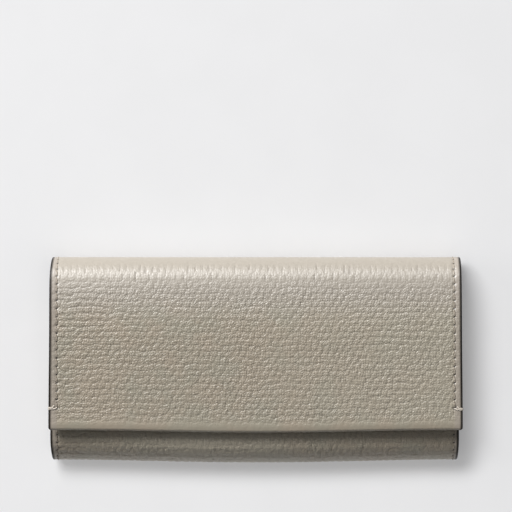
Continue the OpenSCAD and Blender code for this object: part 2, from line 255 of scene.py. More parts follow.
def sheet(name, trail, rows, half, top, bottom, finish, face_step, relief=None,
          axes=(0, 1, 2), middle=0.0, mirror=None, round_ends=(True, True), face_is_top=True):
    """A sheet carried along a trail. Across it a ring runs over the face, round one edge as a
    half circle, back under the sheet and round the other edge. Half is half the width, as a
    number or a function of the length along the trail and of the side, -1 or 1. At a round end
    the thickness falls as a half circle. Relief pushes the face inwards, and returns the values
    that colour it."""
    r = (bottom - top) / 2
    swing = np.linspace(0, np.pi / 2, 6)[1:]
    thin = np.ones(len(rows))
    if round_ends[0]:
        rows = np.concatenate([(rows[0] + r - r * np.sin(swing))[::-1], rows[rows > rows[0] + r * 1.05]])
        thin = np.concatenate([np.cos(swing)[::-1], np.ones(len(rows) - 5)])
    if round_ends[1]:
        kept = rows < rows[-1] - r * 1.05
        last = rows[-1]
        rows = np.concatenate([rows[kept], last - r + r * np.sin(swing)])
        thin = np.concatenate([thin[kept], np.cos(swing)])
    thin = np.maximum(thin, 0.05)
    left, right = ((half(rows, side) if callable(half) else np.full(len(rows), float(half)))[:, None]
                   for side in (-1, 1))
    widest = (left + right).max()
    back_step = 8
    count, back = int(widest / face_step) + 1, int(widest / back_step) + 2
    turn = np.linspace(0, np.pi, 8)[1:-1]
    along = np.concatenate([np.linspace(-1, 1, count), np.ones(6), np.linspace(1, -1, back), -np.ones(6)])
    out = np.concatenate([np.zeros(count), np.sin(turn), np.zeros(back), -np.sin(turn)])
    side = np.concatenate([-np.ones(count), -np.cos(turn), np.ones(back), np.cos(turn)])
    if not face_is_top:
        side = -side
    x = along * (np.where(along < 0, left, right) - r) + out * r * thin[:, None]
    s = rows[:, None] + 0 * x
    depth = (top + bottom) / 2 + side * r * thin[:, None]
    values = {}
    if relief:
        on_face = np.clip(-side if face_is_top else side, 0, 1) * thin[:, None]
        dent, values = relief(x, s, on_face, side * np.ones_like(x))
        depth = depth + (dent if face_is_top else -dent)
    p, q = trail.at(s, depth, x)
    if mirror is not None:
        q = 2 * mirror - q
    points = np.zeros(x.shape + (3,))
    points[..., axes[0]], points[..., axes[1]], points[..., axes[2]] = x + middle, p, q
    size = x.shape
    ends = [np.arange(size[1])[::-1], np.arange(size[1]) + (size[0] - 1) * size[1]]
    u, v = values.pop("weave", (x + middle, s))
    uv = np.stack([u / 100, v / 100], axis=-1).reshape(-1, 2)
    return make_piece(name, points.reshape(-1, 3), ring_faces(*size), finish, ends, uv, values)


def tubes(centre, radius, sides=8):
    """Round threads. Centre holds, for each thread, the points along it, and radius the size at
    each: a circle square to the thread's run is carried along it. Returns points and faces."""
    run = np.gradient(centre, axis=1)
    run /= np.linalg.norm(run, axis=2, keepdims=True) + 1e-12
    guide = np.where(np.abs(run[..., 2:]) < 0.9, [0.0, 0.0, 1.0], [0.0, 1.0, 0.0])
    across = np.cross(run, guide)
    across /= np.linalg.norm(across, axis=2, keepdims=True)
    up = np.cross(across, run)
    turn = np.linspace(0, 2 * np.pi, sides, endpoint=False)
    ring = (np.cos(turn)[:, None] * across[:, :, None] + np.sin(turn)[:, None] * up[:, :, None])
    points = centre[:, :, None] + radius[:, :, None, None] * ring
    threads, rings = centre.shape[:2]
    faces = ring_faces(rings, sides)
    faces = (faces[None] + (np.arange(threads) * rings * sides)[:, None, None]).reshape(-1, 4)
    around = np.broadcast_to(turn / (2 * np.pi), points.shape[:3])
    length = np.concatenate([np.zeros((threads, 1)),
                             np.cumsum(np.linalg.norm(np.diff(centre, axis=1), axis=2), axis=1)], axis=1)
    uv = np.stack([np.broadcast_to(length[:, :, None], points.shape[:3]), around], axis=-1)
    first = np.arange(sides)[::-1]
    last = np.arange(sides) + (rings - 1) * sides
    ends = [end + k * rings * sides for k in range(threads) for end in (first, last)]
    return points.reshape(-1, 3), faces, ends, uv.reshape(-1, 2)


def declare_cloth(trail, start, end, depth, carrier):
    """Points along the middle of a cloth that is stuck or sewn flat to what carries it. The points
    are dropped: nothing is declared and no cut length is worked out. The carrier is not used."""
    p, q = trail.at(np.linspace(start, end, 400), depth)


def joined(name, parts, finish):
    """One piece of several sets of threads."""
    points, faces, ends, uv = zip(*parts)
    before = np.cumsum([0] + [len(part) for part in points])
    faces = np.concatenate([part + count for part, count in zip(faces, before)])
    ends = [end + count for part, count in zip(ends, before) for end in part]
    return make_piece(name, np.concatenate(points), faces, finish, ends, np.concatenate(uv))


def stitch_shape(starts, pitch, thread_r, rise, slant, rings=7):
    """Each stitch as a length along the seam, a place across it and a height. The height is an
    arch over the stitch, which dips under the leather at both holes, and the place leans."""
    t = np.linspace(0, 1, rings) + 0 * starts[:, None]
    arch = np.sin(np.pi * t)
    along = starts[:, None] + pitch * (0.07 + 0.86 * t)
    across = slant * (1 - 2 * t)
    height = rise * arch ** 0.6 - thread_r * (1 - arch ** 0.5)
    size = thread_r * (0.45 + 0.55 * arch ** 0.5)
    return along, across, height, size


def seam_on_trail(trail, starts, pitch, place, sink):
    """Stitches along a trail, at a place across it and sunk by a depth that changes with the
    length."""
    along, across, height, size = stitch_shape(starts, pitch, thread_r=0.27, rise=-0.1, slant=0.25)
    p, q = trail.at(along, sink(along) - height, place)
    return tubes(np.stack([place + across, p, q], axis=-1), size)


def seam_on_plane(x, y, z, way, length, pitch, up=1, trail=None):
    """A straight row of stitches on a flat piece, along X or along Y. On a trail, Y is the length
    along it and Z the depth behind it."""
    starts = np.arange(int(length / pitch)) * pitch
    along, across, height, size = stitch_shape(starts, pitch, thread_r=0.22, rise=0.0, slant=0.1, rings=5)
    if way == "y":
        along, across = across, along
    centre = np.stack([x + along, y + across, z + up * height], axis=-1)
    if trail:
        centre[..., 1], centre[..., 2] = trail.at(centre[..., 1], centre[..., 2], centre[..., 0])
    return tubes(centre, size, sides=6)


# Shader maths
class Wire:
    """A shader socket that takes part in sums and products."""

    def __init__(self, finish, socket):
        self.finish, self.socket = finish, socket

    def maths(self, operation, *values):
        return self.finish.maths(operation, *values)

    def __add__(self, other):
        return self.maths("ADD", self, other)

    def __sub__(self, other):
        return self.maths("SUBTRACT", self, other)

    def __mul__(self, other):
        return self.maths("MULTIPLY", self, other)

    def __rsub__(self, other):
        return self.maths("SUBTRACT", other, self)

    __radd__, __rmul__ = __add__, __mul__

    def fade(self, start, end):
        """0 before start, 1 after end, and a smooth step between them."""
        return self.finish.node("ShaderNodeMapRange", {"interpolation_type": "SMOOTHSTEP"},
                                {"Value": self, "From Min": start, "From Max": end})


class Finish:
    """A material built from nodes."""

    def __init__(self, name):
        self.material = bpy.data.materials.new(name)
        self.material.use_nodes = True
        self.tree = self.material.node_tree
        self.tree.nodes.clear()

    def node(self, kind, settings=None, values=None, output=0):
        """A node with its settings made and its inputs filled or joined up."""
        made = self.tree.nodes.new(kind)
        for key, value in (settings or {}).items():
            setattr(made, key, value)
        for key, value in (values or {}).items():
            if isinstance(value, Wire):
                self.tree.links.new(value.socket, made.inputs[key])
            else:
                made.inputs[key].default_value = value
        return Wire(self, made.outputs[output] if made.outputs else None)

    def place(self, scale=(1, 1, 1)):
        """The point on the piece, stretched."""
        point = self.node("ShaderNodeTexCoord", output="Object")
        return self.node("ShaderNodeMapping", values={"Vector": point, "Scale": scale})

    def value(self, name):
        """A value that the piece carries at its points."""
        return self.node("ShaderNodeAttribute", {"attribute_name": name}, output="Fac")

    def maths(self, operation, *values):
        return self.node("ShaderNodeMath", {"operation": operation}, dict(enumerate(values)))

    def noise(self, point, scale, detail=2.0, rough=0.5):
        return self.node("ShaderNodeTexNoise", {}, {"Vector": point, "Scale": scale, "Detail": detail,
                                                    "Roughness": rough})

    def mix(self, amount, first, second):
        """One colour, or another by an amount."""
        return self.node("ShaderNodeMix", {"data_type": "RGBA"}, {0: amount, 6: first, 7: second}, output=2)

    def bump(self, height, distance, strength=1.0, normal=None):
        values = {"Height": height, "Distance": distance, "Strength": strength}
        if normal:
            values["Normal"] = normal
        return self.node("ShaderNodeBump", values=values)

    def surface(self, cover=None, **values):
        """Ends the material with the plain shader. A cover is a mask and a second shader that
        lies over it there."""
        names = {key.replace("_", " ").title().replace("Ior", "IOR"): value for key, value in values.items()}
        shader = self.node("ShaderNodeBsdfPrincipled", values=names)
        if cover:
            shader = self.node("ShaderNodeMixShader", values={0: cover[0], 1: shader, 2: cover[1]})
        self.node("ShaderNodeOutputMaterial", values={"Surface": shader})
        return self.material


def rgb(red, green, blue):
    """A colour given as it looks on screen, from 0 to 255, as light values."""
    def light(c):
        c = c / 255
        return c / 12.92 if c <= 0.04045 else ((c + 0.055) / 1.055) ** 2.4
    return (light(red), light(green), light(blue), 1)


def grained_leather_finish():
    """Taupe leather: warm and green drifts of colour, painted light on parts of the flap and the front, painted
    sheen towards the spine, painted shade in the creases, where there is also some grime, on the flap's rolled edge
    and in the stitch holes, fine wrinkles, and near-black paint along the cut edges. Its pits are e to the minus
    difference between the distances to the two nearest of a scatter of points."""
    f = Finish("grained_leather")
    point = f.place()
    crease, paint, hole, margin = (f.value(name) for name in ("crease", "paint", "hole", "margin"))
    grain, pulled, pale = (f.value(name) for name in ("grain", "pulled", "pale"))
    drift = f.noise(point, 55, 3, 0.6).fade(0.35, 0.65)
    speck = f.noise(point, 900, 3, 0.6)
    uv = f.node("ShaderNodeTexCoord", output="UV")
    cells = {"voronoi_dimensions": "2D", "distance": "MINKOWSKI"}
    spread = {"Vector": uv, "Scale": 80.0, "Exponent": 4.0, "Randomness": 0.85}
    first, second = (f.node("ShaderNodeTexVoronoi", {**cells, "feature": kind}, spread) for kind in ("F1", "F2"))
    pit = f.maths("POWER", math.e, (first - second) * 3.2)
    colour = f.mix(drift, rgb(161, 149, 131), rgb(156, 149, 132))
    # Tints over the base colour: painted light, painted sheen, the margins' own lighter tone, random specks, painted
    # shade with some grime in the creases, painted shade on the rolled edge, and painted shade in the stitch holes.
    for amount, tint in ((pale, (171, 163, 146)), (pulled, (162, 154, 142)), (margin * 0.6, (166, 156, 146)),
                         (speck.fade(0.3, 0.75) * 0.14, (126, 116, 100)),
                         (crease.fade(0.5, 1.0) * 0.42, (92, 81, 67)), (hole.fade(0.2, 0.65), (26, 19, 15))):
        colour = f.mix(amount, colour, rgb(*tint))
    fine = f.bump(speck * (1 - paint), 0.0001, 0.8)
    normal = f.bump(1 - pit * grain, 0.00013, 1.0, fine)
    rough = 0.4 + crease * 0.06 + speck * 0.06
    edge_paint = f.node("ShaderNodeBsdfPrincipled", values={"Base Color": rgb(22, 16, 13), "Roughness": 0.45,
                                                            "Specular IOR Level": 0.25})
    return f.surface(cover=(paint, edge_paint), base_color=colour, roughness=rough, normal=normal,
                     specular_ior_level=0.8, ior=1.65)


def smooth_leather_finish():
    """Thin leather with slow drifts of colour and fine darker pores between its cells."""
    f = Finish("smooth_leather")
    point = f.place()
    drift = f.noise(point, 40, 4, 0.6)
    cell = f.node("ShaderNodeTexVoronoi", {"feature": "DISTANCE_TO_EDGE"}, {"Vector": point, "Scale": 1100.0})
    colour = f.mix(drift.fade(0.3, 0.7), rgb(132, 120, 103), rgb(146, 134, 116))
    colour = f.mix((1 - cell.fade(0.0, 0.2)) * 0.25, colour, rgb(100, 90, 76))
    normal = f.bump(cell.fade(0.0, 0.3) + f.noise(point, 2500, 2) * 0.4, 0.00005, 0.8)
    return f.surface(base_color=colour, roughness=0.5 + drift * 0.12, normal=normal)


def weave_finish(name, dark, light, threads, rough):
    """Plain woven cloth: each thread passes over and under the ones that cross it, as the
    product of a wave along the cloth and one across it."""
    f = Finish(name)
    uv = f.node("ShaderNodeTexCoord", output="UV")
    drift = f.noise(f.place(), 60, 4, 0.6)
    waves = [f.node("ShaderNodeTexWave", {"bands_direction": way, "wave_profile": "SIN"},
                    {"Vector": uv, "Scale": threads, "Distortion": 0.15}, output="Fac") for way in "XY"]
    over = (waves[0] - 0.5) * (waves[1] - 0.5) * 4
    lift = over * 0.5 + 0.5
    colour = f.mix(lift.fade(0.2, 0.9), dark, light)
    colour = f.mix(drift.fade(0.35, 0.7) * 0.3, colour, dark)
    normal = f.bump(lift, 0.00012, 0.9)
    return f.surface(base_color=colour, roughness=rough + drift * 0.1, normal=normal, sheen_weight=0.2)


def thread_finish(name, dark, light):
    """Twisted thread: a wave that runs slantwise round it."""
    f = Finish(name)
    uv = f.node("ShaderNodeTexCoord", output="UV")
    twist = f.node("ShaderNodeTexWave", {"bands_direction": "DIAGONAL"},
                   {"Vector": f.node("ShaderNodeMapping", values={"Vector": uv, "Scale": (0.9, 2.0, 1.0)}),
                    "Scale": 0.5, "Distortion": 0.3}, output="Fac")
    fibre = f.noise(f.place(), 3000, 2)
    colour = f.mix(twist, dark, light)
    colour = f.mix(fibre.fade(0.3, 0.8) * 0.25, colour, rgb(200, 190, 174))
    return f.surface(base_color=colour, roughness=0.55 + fibre * 0.15, normal=f.bump(twist, 0.0001, 0.8),
                     sheen_weight=0.15)


def plated_metal_finish():
    """Pale gold plating with faint brushing and rubbed, slightly darker patches."""
    f = Finish("plated_metal")
    brushed = f.noise(f.place((1, 12, 12)), 900, 3, 0.6)
    worn = f.noise(f.place(), 300, 4, 0.6)
    colour = f.mix(worn.fade(0.35, 0.7), rgb(226, 200, 150), rgb(206, 176, 122))
    return f.surface(base_color=colour, metallic=1.0, roughness=0.2 + brushed * 0.12 + worn * 0.1,
                     normal=f.bump(brushed, 0.00001, 0.6))


def magnet_finish():
    """Dull pressed powder, dark grey with a fine grain."""
    f = Finish("pressed_magnet")
    grain = f.noise(f.place(), 2600, 4, 0.7)
    colour = f.mix(grain.fade(0.3, 0.7), rgb(48, 48, 50), rgb(74, 73, 74))
    return f.surface(base_color=colour, metallic=0.3, roughness=0.45 + grain * 0.2,
                     normal=f.bump(grain, 0.00003, 0.8))


def board_finish():
    """Pressed fibre, lighter and darker along its fibres."""
    f = Finish("fibre_board")
    fibre = f.noise(f.place((1, 5, 1)), 700, 5, 0.65)
    colour = f.mix(fibre.fade(0.3, 0.7), rgb(168, 146, 112), rgb(198, 178, 144))
    return f.surface(base_color=colour, roughness=0.75 + fibre * 0.15, normal=f.bump(fibre, 0.00005, 0.7))


grained_leather = grained_leather_finish()
smooth_leather = smooth_leather_finish()
lining_cloth = weave_finish("lining_cloth", rgb(78, 64, 52), rgb(112, 95, 78), 90.0, 0.6)
tape_cloth = weave_finish("tape_cloth", rgb(74, 62, 52), rgb(116, 100, 84), 60.0, 0.65)
seam_thread = thread_finish("seam_thread", rgb(122, 110, 96), rgb(170, 159, 144))
bar_finish = thread_finish("bar_thread", rgb(180, 170, 157), rgb(224, 216, 205))
plated_metal = plated_metal_finish()
pressed_magnet = magnet_finish()
fibre_board = board_finish()

# The line that the whole hide follows, from the hem's end under the flap, round the flap's
# edge, over the flap and the spine, along the back and round the bottom fold to the front's end
hem_run = hem_end - flap_edge - leather_t
bow_parts = [(10.0, -2.3), (12.0, -4.8), (8.0, -9.0)]
bow = Trail((0, 0), 0, bow_parts)
bow_tilt = -bow.angle[-1]
bow_end = top_z + bow.q[-1]
flap_run = spine_top - spine_r - flap_edge - leather_t - bow.p[-1]
upper_r = spine_r / (1 - math.sin(bow_tilt))
spine_run = bow_end - upper_r * math.cos(bow_tilt) - spine_r
back_run = spine_top - spine_r - bottom_y - fold_r
front_run = front_end - bottom_y - fold_r
hide = Trail((hem_end, top_z - 2 * leather_t), 180,
             [(hem_run, 0), arc(leather_t, -180), (flap_run, 0), *bow_parts,
              arc(upper_r, math.degrees(bow_tilt) - 90), (spine_run, 0),
              arc(spine_r, -90), (back_run, 0), arc(fold_r, -180), (front_run, 0)])
nose, flap_start = hide.ends[1:3]
upper_fold, spine_flat, lower_fold, back_start, bottom_fold, front_start, hide_end = hide.ends[3 + len(bow_parts):]


def bulge(s, x):
    """The flap's edge and the bottom fold bulge outwards, most in the middle of the width."""
    share = np.interp(s, [0, nose, flap_start, upper_fold, lower_fold, bottom_fold, front_start, hide_end],
                      [0.8, 1, 1, 0, 0, 1, 1, 0])
    return -share * (0.3 + 1.1 * (1 - np.minimum(np.abs(x) / body_half, 1) ** 2) ** 2.4)


hide.shift = bulge
spine_middle = (spine_flat + lower_fold) / 2
back_middle = (back_start + bottom_fold) / 2


def hide_half(s, side):
    """Half the hide's width to the left or the right: widest at the flap's edge, narrower on the
    body, drawn in round the folds, and rounded at the flap's lower corners and the front's
    upper ones."""
    left = side < 0
    flap = flap_half + 0.22 + 0.35 * (1 - step(s, flap_start, flap_start + 50))
    body = body_half + np.where(left, 0.47, -0.38)
    half = flap + (body - flap) * step(s, lower_fold + 4, back_start - 3)
    fold_middle = (bottom_fold + front_start) / 2
    half = half - np.where(left, 0.6, 0.0) * span(s, upper_fold - 2, upper_fold + 18, lower_fold, back_start)
    half = half - np.where(left, 0.7, 0.4) * span(s, bottom_fold, fold_middle, fold_middle, front_start)
    y = np.interp(s, hide.s, hide.p)
    small, large = 0.9, 2.0
    near = np.clip(small - (y - flap_edge), 0, small) * (s < upper_fold)
    half = half - (small - np.sqrt(small ** 2 - near ** 2))
    far = np.clip(large - (hide_end - s), 0, large)
    return half - (large - np.sqrt(large ** 2 - far ** 2))


def hide_place(y):
    """The length along the hide at which the flap reaches a place along Y."""
    return flap_start + y - flap_edge - leather_t


# The side seams, which end at the tacks near the flap's edge
stitch_pitch = 3.8
seam_in = 3.25
seam_x = flap_half - seam_in
tack_y = -22.3
tack = hide_place(tack_y)
hide_holes = tack + stitch_pitch * np.arange(int((hide_end - 3 - tack) / stitch_pitch) + 1)

# The holes of each thread bar: how far in from the edge and how far above the last stitch. The
# right bar sits lower by a drop. A bar's thread lies at a lift above the leather's face
bar_holes = [(2.7, 1.0), (4.0, 0.1)]
bar_drop, bar_lift, bar_r = 0.45, -0.02, 0.3

# The grain's rows grow taller over the folds beside the spine
grain_s = np.linspace(-5, hide_end + 5, 4000)
over_spine = span(grain_s, upper_fold - 3, upper_fold + 5, back_start - 5, back_start + 3)
grain_row = np.concatenate([[0], np.cumsum(np.diff(grain_s) / (1 + 1.2 * over_spine[1:]))])

pebble_width, pebble_height, groove_width = 3.15, 2.9, 0.5
crease_depth, tilt_depth, seam_depth, hole_depth, crown_height = 0.32, 0.05, 0.12, 0.4, 1.2


def hide_grain(x, s, spine_share):
    """The hide's pebbles, on a lattice that drifts. Their upright creases outweigh the level ones
    more on the spine and less at the left end. Returns the crease, the tilt and the drifted
    place."""
    warp_x = x + 0.45 * swell(x, s, 9, 0) + 0.2 * swell(x, s, 3, 4)
    warp_s = np.interp(s, grain_s, grain_row) + 0.45 * swell(x, s, 9, 1) + 0.2 * swell(x, s, 2.6, 5)
    level_here = 0.35 * step(-x, 62, 84)
    upright = 1.1 + 0.5 * spine_share + (0.2 * swell(x, s, 26, 2) - level_here) * (1 - spine_share)
    crease, tilt = pebbles(warp_x, warp_s, pebble_width, pebble_height, groove_width, upright, jitter=0.5)
    return crease, tilt, (warp_x, warp_s)


def seam_holes(x, s, inset):
    """Round hollows at the holes of the side seams and the thread bars: e to the minus square of
    the distance over the hole's size. The seams' holes lean."""
    to_seam = seam_x - np.abs(x)
    lean = np.where(x < 0, -to_seam, to_seam)
    along = np.mod(s - tack + stitch_pitch / 2, stitch_pitch) - stitch_pitch / 2 + 0.5 * lean
    hole = np.exp(-(along / 0.5) ** 2 - (lean / 0.5) ** 2) * (s > tack - 1) * (s < hide_end - 2)
    for hole_in, above in bar_holes:
        along = s - tack - above + bar_drop * (x > 0)
        hole = hole + np.exp(-(along / 0.45) ** 2 - ((inset - hole_in) / 0.45) ** 2)
    return hole


def hide_relief(x, s, on_face, side):
    """How deep the hide's face dips: the creases and tilts of the pebbles, the dent along the
    seam, its holes and slow swells, less the front panel's crown. The grain fades where the
    leather is stretched over the spine, rolled round the flap's edge or pared along the sides.
    Returns the dip and the values that colour the leather, painted light, painted sheen and painted shade among
    them."""
    on_spine = back_start - 6, back_start + 4
    spine_share = span(s, upper_fold - 4, upper_fold + 6, *on_spine)
    # Painted sheen: the leather is coloured lighter and less warm from a stretch before the upper fold on over the
    # spine, where its gloss falls.
    pulled = span(s, upper_fold - 22, upper_fold - 4, *on_spine)
    calm = span(s, upper_fold - 9, upper_fold + 1, *on_spine)
    stretched = span(s, upper_fold + 5, upper_fold + 11, back_start - 11, back_start - 4)
    rolled = 1 - step(np.abs(s - (nose + flap_start) / 2 - 0.6), 1.6, 7.0)
    # Painted light: the flap is coloured lighter towards its right side, and the front panel lighter in the middle
    # of its width.
    pale = 0.6 * step(x, -30, 80) * span(s, flap_start, flap_start + 8, upper_fold - 12, upper_fold)
    pale = pale + 0.8 * np.exp(-((x + 20) / 40) ** 2) * step(s, bottom_fold, front_start)
    inset = hide_half(s, np.sign(x)) - np.abs(x)
    to_seam = seam_x - np.abs(x)
    margin = 1 - step(to_seam, -0.7, 0.6)
    seam = np.exp(-(to_seam / 0.55) ** 2) * step(s, tack - 0.5, tack)
    # The hole value both dents the face and, in the finish, paints shade into the stitch holes.
    hole = seam_holes(x, s, inset)

    crease, tilt, drifted = hide_grain(x, s, spine_share)
    creased = (1 + 0.1 * swell(x, s, 15, 3)) * (1 - 0.72 * stretched) * (1 - 0.85 * rolled)
    creased = creased * (1 - 0.55 * margin) * step(inset, 0.4, 1.5)
    amount = creased * (1 - 0.56 * calm)
    dent = amount * (crease_depth * crease + tilt_depth * tilt) + seam_depth * seam + hole_depth * hole
    crown = span(s, bottom_fold + 6, front_start + 3, hide_end - 14, hide_end - 2)
    dent = dent - crown_height * crown * (1 - np.minimum(np.abs(x) / body_half, 1) ** 2)
    dent = dent + 0.06 * (swell(x, s, 38, 6) + 1) * step(inset, 2, 14)

    painted = np.maximum(1 - step(inset, 0.95, 1.25), (side > -0.95) & (np.abs(side) < 0.999))
    # The crease value darkens the creases, as painted shade with some grime, and the flap's rolled edge, as painted
    # shade where it turns away from the light.
    values = {"crease": np.maximum(crease * creased, 0.75 * rolled), "hole": hole, "margin": margin,
              "pulled": pulled, "pale": pale, "grain": amount}
    values = {name: value * on_face for name, value in values.items()}
    return dent * on_face, {**values, "paint": painted, "weave": drifted}


def rows_between(start, end, parts):
    """Places along the hide, the given number to a stitch, from one length to another."""
    gap = stitch_pitch / parts
    inside = tack + gap * np.arange(math.ceil((start + 0.2 - tack) / gap), math.floor((end - 0.2 - tack) / gap) + 1)
    return np.concatenate([[start], inside, [end]])


# Where each blended piece would start and end to turn, and between which bodies; no piece is turned by it
bends = {
    "flap": ("spine", "flap", (0, spine_top, spine_r + spine_run), (0, spine_top - spine_r, bow_end)),
    "spine": ("back", "spine", (0, spine_top - spine_r, 0), (0, spine_top, spine_r)),
    "front": ("back", "front", (0, bottom_y, 2.0), (0, bottom_y, front_top - 2.0)),
}


def bend(piece, which):
    """Bakes a piece's placement into its points. The fold it would turn over is read from the table but not used, so
    the piece does not turn from one body to the next.
    """
    first, second, start, end = bends[which]
    tuple(c * MM for c in start)
    tuple(c * MM for c in end)
    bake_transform(piece)


# The hide's three parts. Each stretch of a part has its own number of rows to a stitch
for which, parts, ends, nodes in (
        ("flap", [(0, nose, 3), (nose, flap_start + 1, 10), (flap_start + 1, spine_middle, 9)],
         (True, False), ("flap_leather", "spine_leather")),
        ("spine", [(spine_middle, back_middle, 8)], (False, False), ("spine_leather", "back_leather")),
        ("front", [(back_middle, bottom_fold, 5), (bottom_fold, front_start + 8, 9), (front_start + 8, hide_end, 5)],
         (False, True), ("back_leather", "front_leather"))):
    rows = np.unique(np.concatenate([rows_between(a, b, n) for a, b, n in parts]))
    piece = sheet(which + "_hide", hide, rows, hide_half, 0, leather_t, grained_leather, 0.5,
                  relief=hide_relief, round_ends=ends)
    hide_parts(*nodes)
    bend(piece, which)


# Linings behind the hide
def lining_relief(x, s, on_face, side):
    """Slack in the cloth, as hills of two sizes."""
    return (0.05 + 0.05 * swell(x, s, 9, 2) + 0.04 * swell(x, s, 24, 3)) * on_face, {}


for which, start, end, ends, nodes in (
        ("flap", hide_place(hem_end), spine_middle, (True, False), ("flap_lining", "spine_lining")),
        ("spine", spine_middle, back_middle, (False, False), ("spine_lining", "back_lining")),
        ("front", back_middle, hide_end - 0.6, (False, True), ("back_lining", "front_lining"))):
    lining = sheet(which + "_lining_cloth", hide, np.linspace(start, end, int((end - start) / 1.2)), inner_half,
                   leather_t - 0.02, shell_t, lining_cloth, 1.6, relief=lining_relief,
                   round_ends=ends, face_is_top=False)
    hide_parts(*nodes)
    bend(lining, which)
    declare_cloth(hide, start, end, (leather_t + shell_t) / 2, which + "_hide")


# Side seams on the hide, in the same three parts
def seam_sink(s):
    """The seam lies deeper on the back, which the wallet rests on."""
    return 0.17 * span(s, back_start - 4, back_start, bottom_fold, bottom_fold + 4)


for which, start, end in (("flap", tack - 0.1, spine_middle), ("spine", spine_middle, back_middle),
                          ("front", back_middle, hide_end - 5)):
    starts = hide_holes[(hide_holes >= start) & (hide_holes < end)]
    threads = [seam_on_trail(hide, starts, stitch_pitch, side * seam_x, seam_sink) for side in (-1, 1)]
    seams = joined(which + "_seams", threads, seam_thread)
    bend(seams, which)


# Thread bars that wrap the flap's side edges at the end of its seams
def bar_thread(side, hole, bend_in, edge_y):
    """A thread from a hole, over a bend, to the edge, round it and back on the underside. The
    hole is a distance in from the edge and a place along Y. The way round the edge is half a
    circle."""
    edge = hide_half(np.array([tack]), side)[0]
    last_y = tack_y + bulge(tack, body_half) - (bar_drop if side > 0 else 0)
    leather_r = leather_t / 2
    round_r = leather_r + bar_lift
    turn = np.linspace(np.pi / 2, -np.pi / 2, 9)
    hole_in, hole_y = hole
    inset = np.concatenate([[hole_in, hole_in - 0.15, (2 * hole_in + bend_in) / 3, (hole_in + 2 * bend_in) / 3,
                             bend_in, (bend_in + 0.9) / 2, 0.9],
                            leather_r - round_r * np.cos(turn), [1.3, 2.2, 3.8, 4.2]])
    y = np.concatenate([[hole_y, hole_y - 0.05, (2 * hole_y + edge_y) / 3, (hole_y + 2 * edge_y) / 3],
                        np.full(16, edge_y)])
    mid, under = top_z - leather_r, top_z - shell_t - bar_lift
    z = np.concatenate([[top_z - 0.55, top_z - 0.1], np.full(5, top_z + bar_lift), mid + round_r * np.sin(turn),
                        [mid - round_r, under, under, under + 0.6]])
    return np.stack([side * (edge - inset), last_y + y, z], axis=-1)


bars = np.stack([bar_thread(side, hole, *way) for side in (-1, 1)
                 for hole, way in zip(bar_holes, ((1.9, 0.1), (2.6, -0.55)))])
bar_piece = joined("flap_thread_bars", [tubes(bars, np.full(bars.shape[:2], bar_r))], bar_finish)
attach(bar_piece, "flap")


# Card pockets, each with a seam this far below its mouth
mouth_seam = 2.4


def pocket_relief(x, s, on_face):
    """A card strip dips along the stitched line below its mouth and along its middle seam, and
    swells over each card. S is the distance from its mouth."""
    mouth = np.exp(-((s - mouth_seam) / 0.5) ** 2)
    middle = np.exp(-(x / 0.5) ** 2)
    card = np.sin(np.pi * np.clip(np.abs(x) / inner_half, 0, 1)) * step(s, 2, 12)
    swelling = 0.12 * card + 0.03 * swell(x, s, 14, 1)
    return (0.12 * mouth + 0.12 * middle - swelling) * on_face, {}


def card_strip(node, body):
    """A strip of card pockets with a turned mouth, a stitched line along it and a seam between
    the two cards. The flap's strips follow the hide, and the others lie flat."""
    low, high = node_box(node)
    length, thick = high[1] - low[1], high[2] - low[2]
    if body == "flap":
        trail, mirror, mouth = hide, None, hide_place(low[1])
        top, bottom, face_is_top = top_z - high[2], top_z - low[2], False
    else:
        face_z, faces_up = (high[2], True) if body == "back" else (low[2], False)
        trail, mouth = Trail((high[1], face_z), 180, [(length, 0)]), 0
        mirror = face_z if faces_up else None
        top, bottom, face_is_top = 0, thick, True

    def half(s, side):
        near = np.clip(2 - (s - mouth), 0, 2)
        return high[0] - (2 - np.sqrt(4 - near ** 2))

    rows = mouth + np.concatenate([np.linspace(0, 5, 14), np.linspace(5.5, length, 40)])
    strip = sheet(node + "_sewn", trail, rows, half, top, bottom, smooth_leather, 1.2,
                  relief=lambda x, s, on_face, side: pocket_relief(x, s - mouth, on_face), mirror=mirror,
                  face_is_top=face_is_top)
    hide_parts(node)
    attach(strip, body)
    if body == "flap":
        place = {"z": bottom - 0.1, "up": 1, "trail": hide}
        line = middle_from = mouth + mouth_seam
    else:
        place = {"z": face_z - 0.1 * (1 if faces_up else -1), "up": 1 if faces_up else -1}
        line = high[1] - mouth_seam
        middle_from = line - (length - 4)
    place["pitch"] = 3.2
    rows = [seam_on_plane(-high[0] + 2, line, way="x", length=2 * high[0] - 4, **place),
            seam_on_plane(0, middle_from, way="y", length=length - 4, **place)]
    threads = joined(node + "_stitches", rows, seam_thread)
    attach(threads, body)


for node in frame["nodes"]:
    if "card_strip" in node:
        card_strip(node, node.split("_")[0])

# The flap's board follows the hide too
board_low, board_high = node_box("flap_board")
board_from = hide_place(board_low[1])
board = sheet("flap_board_bowed", hide, np.linspace(board_from, board_from + board_high[1] - board_low[1], 40),
              board_high[0], top_z - board_high[2], top_z - board_low[2], fibre_board, 4,
              round_ends=(False, False))
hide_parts("flap_board")
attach(board, "flap")

# The coin pocket's bag
bag_r = (bag_high[2] - bag_low[2]) / 2
bag_run = mouth_y - bag_low[1] - bag_r
bag_trail = Trail((mouth_y, bag_low[2]), 180, [(bag_run, 0), arc(bag_r, -180), (bag_run, 0)])
bag_length = bag_trail.ends[-1]
bag_seams, bag_side_seam = (1.6, 7.5), 2.2


